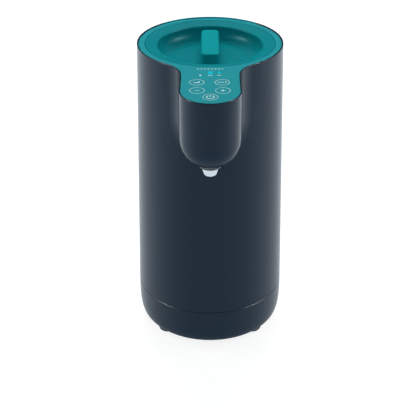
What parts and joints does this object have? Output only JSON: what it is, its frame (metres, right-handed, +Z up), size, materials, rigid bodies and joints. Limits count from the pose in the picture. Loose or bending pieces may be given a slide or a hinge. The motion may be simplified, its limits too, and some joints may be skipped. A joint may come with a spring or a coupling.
{
  "type": "formula dispenser",
  "caption": "Countertop warm-water dispenser for baby bottles: round body with a lift-out tank, a recessed lid with a fin handle and a touch panel on a nose over the spout.",
  "frame": {"origin": "middle of the bounding box's footprint, on the surface that the feet stand on", "axes": "+Z up, the nose and spout face -Y, the power inlet faces +Y, and +X is to the right seen from the front"},
  "size_m": [0.14, 0.204, 0.2849],
  "materials": {
    "slate_shell": "soft satin moulded plastic, fine texture",
    "teal_top": "satin moulded plastic",
    "teal_lid": "satin moulded plastic, a little deeper",
    "indicator": "clear cyan window",
    "tank_clear": "smoky clear moulded plastic",
    "inner_grey": "plain grey moulded plastic",
    "white_nozzle": "white, slightly glossy",
    "black_rubber": "matt",
    "silicone": "milky silicone",
    "steel": "plain steel",
    "cast_alloy": "as cast",
    "board_green": "solder mask",
    "part_black": "moulded component bodies",
    "brass_pin": "plain"
  },
  "bodies": {
    "housing": {"base_feet": "black_rubber", "base_screws": "steel", "base_tub": "slate_shell", "control_board": "board_green", "control_cable": "part_black", "control_parts": "part_black", "control_screws": "steel", "cord_inlet": "part_black", "deck_screws": "steel", "drip_valve": "silicone", "flow_cap": "part_black", "flow_meter": "part_black", "heater_block": "cast_alloy", "heater_bracket": "steel", "heater_hose": "silicone", "heater_screws": "steel", "hot_water_hose": "silicone", "indicator_windows": "indicator", "inlet_pins": "brass_pin", "inlet_screws": "steel", "level_sensor": "board_green", "outer_shell": "slate_shell", "power_board": "board_green", "power_parts": "part_black", "power_screws": "steel", "pump_bracket": "steel", "pump_cover": "part_black", "pump_hose": "silicone", "pump_housing": "part_black", "pump_motor": "steel", "pump_screws": "steel", "spout_holder": "inner_grey", "spout_nozzle": "white_nozzle", "spout_seal": "silicone", "suction_hose": "silicone", "tank_deck": "inner_grey", "thermal_cutouts": "part_black", "top_collar": "teal_top", "touch_pads": "part_black", "valve_cup": "inner_grey", "valve_cup_seal": "silicone"},
    "tank": {"water_tank": "tank_clear", "valve_body": "inner_grey", "tank_filter": "inner_grey", "float_guide": "inner_grey", "valve_spring": "steel"},
    "poppet": {"valve_poppet": "silicone"},
    "float": {"tank_float": "white_nozzle"},
    "lid": {"lid_cover": "teal_lid", "lid_handle": "teal_lid", "handle_screws": "steel", "lid_seal": "silicone"},
    "pump_rotor": {"pump_shaft": "steel", "pump_impeller": "white_nozzle"},
    "flow_rotor": {"flow_wheel": "white_nozzle"}
  },
  "joints": [
    {"name": "tank_lift", "type": "slide", "parent": "housing", "child": "tank", "axis": [0, 0, 1], "range_m": [0, 0.175]},
    {"name": "poppet_drop", "type": "slide", "parent": "tank", "child": "poppet", "axis": [0, 0, -1], "range_m": [0, 0.004], "deforming": ["valve_spring"]},
    {"name": "float_rise", "type": "slide", "parent": "tank", "child": "float", "axis": [0, 0, 1], "range_m": [0, 0.01]},
    {"name": "lid_lift", "type": "slide", "parent": "tank", "child": "lid", "axis": [0, 0, 1], "range_m": [0, 0.06]},
    {"name": "pump_spin", "type": "hinge", "parent": "housing", "child": "pump_rotor", "pos_m": [-0.026, 0.02005, 0.05], "axis": [0, 0, 1], "continuous": true},
    {"name": "flow_spin", "type": "hinge", "parent": "housing", "child": "flow_rotor", "pos_m": [-0.037, 0.05905, 0.056], "axis": [0, 0, 1], "continuous": true}
  ],
  "couplings": [
    {"joint": "poppet_drop", "follows": "tank_lift", "ratio": 0.0228}
  ]
}
